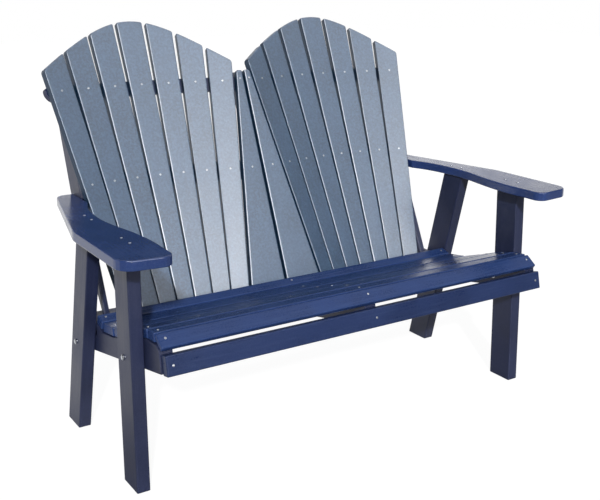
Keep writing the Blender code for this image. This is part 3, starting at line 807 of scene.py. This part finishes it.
@dataclass
class CloseSlats:
    """Back slats a little wider below their shoulders, so that the gaps close as the photograph shows."""

    rings: tuple[Pair, ...] = ((0.96, 0.0008), (0.84, 0.0024))
    side: float = 0.0120

    def build(self, pieces: dict[str, Piece]) -> None:
        """Makes both fans' slats and puts them in the list of what shows.

        Args:
            pieces: the pieces that show, by node.
        """
        for hand, sign in HANDS:
            for place, node in enumerate(fan(hand)):
                show_instead(self.slat(node, 0 if place else sign), node, pieces)
        bpy.context.view_layer.update()
        log.info("fans: %d slats with closer gaps", len(HANDS) * len(BACK_SLATS))

    def slat(self, node: str, held_side: int) -> Piece:
        """Copies a slat, cuts rings at its shoulders and moves its sides out from each ring down.

        Args:
            node: the slat.
            held_side: -1 or 1 where its outer side stands beside an arm and stays, else 0.

        Returns:
            The wider slat.
        """
        cuts = [{"plane_co": (0.0, 0.0, ring), "plane_no": UP} for ring, _ in self.rings]
        slat = cut_copy(node, f"{node}_close", cuts)
        foot, head = quarter_points(node)
        largest = max(slat.data.polygons, key=lambda face: face.area)
        across = largest.normal.cross((head - foot).normalized()).normalized()
        if across.x < 0:
            across.negate()
        for vertex in slat.data.vertices:
            wider = [step for ring, step in self.rings if vertex.co.z < ring + MERGE_WITHIN]
            reach = (vertex.co - foot).dot(across)
            sign = 1 if reach > 0 else -1
            if wider and abs(reach) > self.side and sign != held_side:
                vertex.co += across * sign * wider[-1]
        slat.data.update()
        return slat


@dataclass
class ScrewHead:
    """Pan head of a wood screw with a star recess, modelled once with its seat at Z = 0."""

    radius: float = 0.0036
    height: float = 0.0015
    crown: float = 0.0010
    crown_steps: int = 3
    recess_share: float = 0.46
    valley_share: float = 0.70
    recess_depth: float = 0.0010
    sides: int = 24
    lobes: int = 6
    smooth_under: float = 35.0
    nearly: float = 0.9
    centre_share: float = 0.1

    def model(self) -> Piece:
        """Turns a cylinder into the head.

        Returns:
            The head, standing on the origin.
        """
        bpy.ops.object.select_all(action="DESELECT")
        bpy.ops.mesh.primitive_cylinder_add(vertices=self.sides, radius=self.radius, depth=self.height,
                                            location=(0.0, 0.0, self.height / 2))
        head = bpy.context.object
        head.name = "screw_head"
        bpy.ops.object.transform_apply(location=True, rotation=True, scale=True)
        self.sink_recess(head)
        self.round_rim(head)
        bpy.ops.object.shade_smooth_by_angle(angle=math.radians(self.smooth_under))
        return head

    def sink_recess(self, head: Piece) -> None:
        """Insets the top, draws every second lobe in and sinks the star.

        Args:
            head: the head in the making.
        """
        self.pick_top(head)
        with editing():
            bpy.ops.mesh.inset(thickness=self.radius * (1.0 - self.recess_share), depth=0.0)
        sector = math.tau / self.lobes
        for vertex in head.data.vertices:
            inner = vertex.co.xy.length < self.radius * self.nearly
            turn = math.atan2(vertex.co.y, vertex.co.x) % sector
            vertex.select = vertex.co.z > self.height / 2 and inner and sector / 4 < turn < sector * 3 / 4
        for group in (head.data.edges, head.data.polygons):
            for item in group:
                item.select = False
        share = self.valley_share
        with editing():
            bpy.ops.mesh.select_mode(type="VERT")
            bpy.ops.transform.resize(value=(share, share, 1.0), center_override=(0.0, 0.0, self.height))
        self.pick_top(head, inner=True)
        sunk = {"value": (0.0, 0.0, -self.recess_depth)}
        with editing():
            bpy.ops.mesh.extrude_region_move(TRANSFORM_OT_translate=sunk)

    def pick_top(self, head: Piece, inner: bool = False) -> None:
        """Selects the flat top, or only its middle face.

        Args:
            head: the head in the making.
            inner: whether only the middle face is wanted.
        """
        only(head)
        pick_by("FACE")
        for face in head.data.polygons:
            flat = face.normal.z > self.nearly and face.center.z > self.height * self.nearly
            central = face.center.xy.length < self.radius * self.centre_share
            face.select = flat and (not inner or central)

    def round_rim(self, head: Piece) -> None:
        """Rounds the head's outer top rim.

        Args:
            head: the head in the making.
        """
        only(head)
        pick_by("EDGE")
        high, wide = self.height * self.nearly, self.radius * self.nearly
        points = head.data.vertices
        for edge in head.data.edges:
            ends = [points[index].co for index in edge.vertices]
            edge.select = all(end.z > high and end.xy.length > wide for end in ends)
        with editing():
            bpy.ops.mesh.bevel(offset=self.crown, segments=self.crown_steps, affect="EDGES")


@dataclass
class Screws:
    """Rows of screws, each set on the face of the board that it holds."""

    head: Piece
    finish: bpy.types.Material
    pieces: dict[str, Piece]
    sunk: float = 0.0002
    upper_row: float = 0.992
    middle_row: float = 0.722
    lower_row: float = 0.334
    filler_row: float = 0.998
    apron_row: float = 0.394
    rail_offset: float = 0.0049
    arm_spread: float = 0.0272
    under_arm: float = 0.01
    far: float = 2.0

    def seat(self, node: str, start: Vector, along: Vector) -> Piece:
        """Sets one screw where a line first meets a board.

        Args:
            node: the board.
            start: a point on the line, outside the board.
            along: the line's direction.

        Returns:
            The screw, in its place.
        """
        found, place, normal, _ = self.pieces[node].ray_cast(start, along)
        if not found:
            raise ValueError(f"no face of {node} lies on the line")
        screw = self.head.copy()
        screw.data = self.head.data.copy()
        bpy.context.collection.objects.link(screw)
        turn = UP.rotation_difference(normal).to_matrix().to_4x4()
        screw.matrix_world = Matrix.Translation(place - normal * self.sunk) @ turn
        return screw

    def row(self, name: str, seats: Iterable[tuple[str, Vector, Vector]]) -> Piece:
        """Sets a row of screws and joins them as one piece.

        Args:
            name: the piece's name.
            seats: for each screw its board, a point and a direction.

        Returns:
            The row.
        """
        screws = [self.seat(*seat) for seat in seats]
        only(screws[0])
        for screw in screws:
            screw.select_set(True)
        bpy.ops.object.transform_apply(location=True, rotation=True, scale=True)
        bpy.ops.object.join()
        made = bpy.context.view_layer.objects.active
        made.name = name
        made.data.name = name
        made.data.materials.clear()
        made.data.materials.append(self.finish)
        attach(made, BODY)
        log.info("%s: %d screws", name, len(screws))
        return made

    def from_front(self, node: str, height: float) -> tuple[str, Vector, Vector]:
        """A screw at the middle of a back slat at a height.

        Args:
            node: the slat.
            height: the screw's height.

        Returns:
            The slat, a point before it and the way to the rear.
        """
        return node, Vector((middle_at(node, height).x, -self.far, height)), REAR

    def from_above(self, node: str, x: float, y: float) -> tuple[str, Vector, Vector]:
        """A screw on a board's top.

        Args:
            node: the board.
            x: the screw's place along the bench.
            y: the screw's place from front to rear.

        Returns:
            The board, a point above it and the way down.
        """
        return node, Vector((x, y, self.far)), -UP

    def rail_places(self) -> Triple:
        """Places along the bench where boards are screwed to the seat rails.

        Returns:
            A place for each of the three rails.
        """
        low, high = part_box("seat_rail_right")
        side = (low.x + high.x) / 2 - self.rail_offset
        return -side, 0.0, side

    def set_back(self) -> None:
        """Screws of both fans and of the fillers between them."""
        rows = (("upper", self.upper_row), ("middle", self.middle_row), ("lower", self.lower_row))
        for title, height in rows:
            for hand, _ in HANDS:
                seats = [self.from_front(slat, height) for slat in fan(hand)]
                self.row(f"{title}_back_screws_{hand}", seats)
        heights = (self.filler_row, self.middle_row, self.lower_row)
        fillers = [self.from_front(node, height) for height in heights for node in pairs("filler_slat")]
        self.row("filler_screws", fillers)

    def set_seat(self) -> None:
        """Screws of the seat slats, the front edge slat and the apron."""
        for node in [f"seat_slat_{number}" for number in SEAT_SLATS] + ["front_edge_slat"]:
            low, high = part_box(node)
            y = (low.y + high.y) / 2
            self.row(f"{node}_screws", [self.from_above(node, x, y) for x in self.rail_places()])
        apron = [("apron", Vector((x, -self.far, self.apron_row)), REAR) for x in self.rail_places()]
        self.row("apron_screws", apron)

    def set_arms(self) -> None:
        """Two screws down into the top of each leg."""
        for hand, _ in HANDS:
            seats = []
            for leg in (f"front_leg_{hand}", f"rear_leg_{hand}"):
                top = middle_at(leg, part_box(leg)[1].z - self.under_arm)
                for step in (-1, 1):
                    seats.append(self.from_above(f"arm_{hand}", top.x, top.y + step * self.arm_spread))
            self.row(f"arm_screws_{hand}", seats)

    def set_all(self) -> None:
        """Sets every row, then drops the pattern head."""
        self.set_back()
        self.set_seat()
        self.set_arms()
        bpy.data.objects.remove(self.head, do_unlink=True)


@dataclass(frozen=True)
class SoftBox:
    """A wide soft light that is seen only mirrored in the boards."""

    strength: float
    half_width: float
    come_from: Pair


@dataclass(frozen=True)
class Lamp:
    """A far lamp: its strength on a face square to it, how many degrees wide it looks, and its bearing."""

    name: str
    strength: float
    softness: float
    come_from: Pair


def bearing(come_from: Pair) -> Vector:
    """Direction toward a light.

    Args:
        come_from: its bearing from the front, in degrees to +X, and its height in degrees.

    Returns:
        A unit direction.
    """
    turn, rise = (math.radians(angle) for angle in come_from)
    return Vector((math.sin(turn) * math.cos(rise), -math.cos(turn) * math.cos(rise), math.sin(rise)))


@dataclass
class Studio:
    """Pale floor, white surroundings, soft boxes and plain lamps."""

    floor_size: float = 30.0
    floor_colour: Triple = (0.62, 0.62, 0.62)
    floor_white: float = 0.72
    shown_white: float = 1.30
    surround: float = 0.14
    horizon: Pair = (0.210, 0.260)
    rear: Pair = (-0.10, 0.35)
    backdrop: float = 1.65
    room: float = 0.03
    second_bounce: float = 1.5
    boxes: tuple[SoftBox, ...] = (SoftBox(10.0, 20.0, (3.0, 16.0)), SoftBox(1.2, 45.0, (50.0, 60.0)))
    lamps: tuple[Lamp, ...] = (Lamp("key_lamp", 2.4, 2.5, (-28.0, 28.0)),
                               Lamp("fill_lamp", 0.40, 50.0, (150.0, 50.0)))
    lamp_distance: float = 5.0

    def build(self) -> None:
        """Makes the floor, the surroundings and the lamps."""
        self.lay_floor()
        self.light_surroundings()
        for lamp in self.lamps:
            self.hang(lamp)
        boxes, lamps = len(self.boxes), len(self.lamps)
        log.info("studio: floor, surroundings, %d soft boxes and %d lamps", boxes, lamps)

    def lay_floor(self) -> None:
        """A wide pale floor that shows nearly white and keeps the bench's shadow."""
        bpy.ops.object.select_all(action="DESELECT")
        bpy.ops.mesh.primitive_plane_add(size=self.floor_size)
        floor = bpy.context.object
        floor.name = "studio_floor"
        material = bpy.data.materials.new("pale_floor")
        material.use_nodes = True
        nodes = Nodes(material.node_tree)
        nodes.tree.nodes.clear()
        matt = nodes.node("ShaderNodeBsdfDiffuse")
        nodes.feed(matt.inputs["Color"], (*self.floor_colour, 1.0))
        glow = nodes.node("ShaderNodeEmission")
        nodes.feed(glow.inputs["Strength"], self.shown_white)
        place = nodes.node("ShaderNodeTexCoord").outputs["Object"]
        behind = nodes.span(nodes.part_of(place, "Y"), self.rear)
        mirrored = nodes.reckon("MULTIPLY", behind, nodes.either("Is Glossy Ray"))
        share = nodes.reckon("MAXIMUM", nodes.either("Is Camera Ray", "Is Transmission Ray"), mirrored)
        mix = nodes.node("ShaderNodeMixShader")
        parts = (nodes.reckon("MULTIPLY", share, self.floor_white), matt.outputs[0], glow.outputs[0])
        for socket, part in zip(mix.inputs, parts):
            nodes.feed(socket, part)
        nodes.feed(nodes.node("ShaderNodeOutputMaterial").inputs["Surface"], mix.outputs[0])
        floor.data.materials.append(material)

    def light_surroundings(self) -> None:
        """Surroundings that show white, mirror as a white backdrop in a dimmer room, and light softly."""
        world = bpy.data.worlds.new("studio")
        world.use_nodes = True
        nodes = Nodes(world.node_tree)
        background = nodes.tree.nodes["Background"]
        nodes.feed(background.inputs["Color"], WHITE)
        direction = nodes.node("ShaderNodeTexCoord").outputs["Generated"]
        mirrored = nodes.either("Is Glossy Ray", "Is Transmission Ray")
        unseen = nodes.reckon("SUBTRACT", 1.0, mirrored)
        plain = nodes.span(nodes.either("Is Camera Ray"), WHOLE, (self.surround, 1.0))
        parts = (nodes.reckon("MULTIPLY", mirrored, self.mirrored_level(nodes, direction)),
                 nodes.reckon("MULTIPLY", unseen, plain))
        nodes.feed(background.inputs["Strength"], nodes.reckon("ADD", *parts))
        bpy.context.scene.world = world

    def mirrored_level(self, nodes: Nodes, direction: Socket) -> Socket:
        """How bright the surroundings mirror: a dim room, the backdrop behind the bench and the soft boxes.

        Args:
            nodes: the surroundings' nodes.
            direction: the way that is looked in.

        Returns:
            The brightness.
        """
        low = nodes.span(nodes.part_of(direction, "Z"), self.horizon, (1.0, 0.0))
        behind = nodes.span(nodes.part_of(direction, "Y"), self.rear)
        level = nodes.span(nodes.reckon("MULTIPLY", low, behind), WHOLE, (self.room, self.backdrop))
        depth = nodes.node("ShaderNodeLightPath").outputs["Glossy Depth"]
        once = nodes.reckon("LESS_THAN", depth, self.second_bounce)
        for box in self.boxes:
            rim = math.cos(math.radians(box.half_width))
            facing = nodes.likeness(direction, bearing(box.come_from))
            glow = nodes.span(facing, (rim, 1.0), (0.0, box.strength), "SMOOTHSTEP")
            level = nodes.reckon("ADD", level, nodes.reckon("MULTIPLY", once, glow))
        return level

    def hang(self, lamp: Lamp) -> None:
        """Adds a lamp.

        Args:
            lamp: the lamp.
        """
        toward = bearing(lamp.come_from)
        light = bpy.data.lights.new(lamp.name, "SUN")
        light.energy = lamp.strength
        light.angle = math.radians(lamp.softness)
        holder = bpy.data.objects.new(lamp.name, light)
        bpy.context.collection.objects.link(holder)
        holder.rotation_euler = toward.to_track_quat("Z", "Y").to_euler()
        holder.location = toward * self.lamp_distance


@dataclass
class PhotographCamera:
    """The camera at the photograph's place, its lens as long as the picture's edges tell."""

    eye: Triple = (-1.5504, -2.4410, 1.3472)
    yaw: float = 0.57397
    pitch: float = 0.24410
    roll: float = 0.00736
    focal_share: float = 1.57233
    rise_share: float = -0.075
    sensor: float = 36.0

    def place(self) -> None:
        """Adds the camera and makes it the scene's own."""
        level = math.cos(self.pitch)
        ahead = Vector((math.sin(self.yaw) * level, math.cos(self.yaw) * level, -math.sin(self.pitch)))
        right = Vector((math.cos(self.yaw), -math.sin(self.yaw), 0.0))
        above = right.cross(ahead)
        cosine, sine = math.cos(self.roll), math.sin(self.roll)
        across = right * cosine + above * sine
        upward = above * cosine - right * sine
        lens = bpy.data.cameras.new("photograph_camera")
        lens.sensor_width = self.sensor
        lens.lens = self.focal_share * self.sensor
        lens.shift_y = self.rise_share
        camera = bpy.data.objects.new("photograph_camera", lens)
        bpy.context.collection.objects.link(camera)
        turn = Matrix((across, upward, -ahead)).transposed()
        camera.matrix_world = Matrix.Translation(self.eye) @ turn.to_4x4()
        bpy.context.scene.camera = camera
        log.info("camera: %.2f m from the bench's middle", camera.location.length)


def dress_hardware(finish: bpy.types.Material) -> None:
    """Gives the leg bolts, washers and nuts their steel.

    Args:
        finish: the steel.
    """
    kinds = [f"{place}_leg_{part}" for place in ("front", "rear") for part in ("bolt", "washer", "nut")]
    names = pairs(*kinds)
    for name in names:
        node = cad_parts[name]
        node.data.materials.clear()
        node.data.materials.append(finish)
    log.info("leg bolts: %d pieces in steel", len(names))


def board_groups() -> tuple[Boards, ...]:
    """Every board of the bench, by sub-assembly.

    Returns:
        The groups.
    """
    seat = tuple(f"seat_slat_{number}" for number in SEAT_SLATS)
    return (
        Boards("fans", BACK_LUMBER, Run.UPWARD, fan("left") + fan("right")),
        Boards("fillers", BACK_LUMBER, Run.UPWARD, pairs("filler_slat")),
        Boards("seat", SEAT_LUMBER, Run.ALONG, seat + ("front_edge_slat",)),
        Boards("apron", SHADED_APRON_LUMBER, Run.ALONG, ("apron",)),
        Boards("arms", ARM_LUMBER, Run.DEEP, pairs("arm")),
        Boards("legs", FRAME_LUMBER, Run.UPWARD, pairs("front_leg", "rear_leg")),
        Boards("posts", FRAME_LUMBER, Run.UPWARD, pairs("back_post") + ("back_post_centre",)),
        Boards("seat rails", FRAME_LUMBER, Run.DEEP, pairs("seat_rail") + ("seat_rail_centre",)),
        Boards("back rails", FRAME_LUMBER, Run.ALONG,
               pairs("middle_back_rail", "upper_back_rail") + ("lower_back_rail",)),
    )


def main() -> None:
    """Remakes the front and the slats, dresses the boards, sets the screws and makes studio and camera."""
    logging.basicConfig(level=logging.INFO, format="%(message)s")
    bpy.context.scene.view_settings.view_transform = "Standard"
    pieces = dict(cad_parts)
    LeaningFront().build(pieces)
    CloseSlats().build(pieces)
    for group in board_groups():
        group.dress(pieces)
    steel = Steel().material()
    dress_hardware(steel)
    Screws(ScrewHead().model(), steel, pieces).set_all()
    Studio().build()
    PhotographCamera().place()


if __name__ == "__main__":
    main()
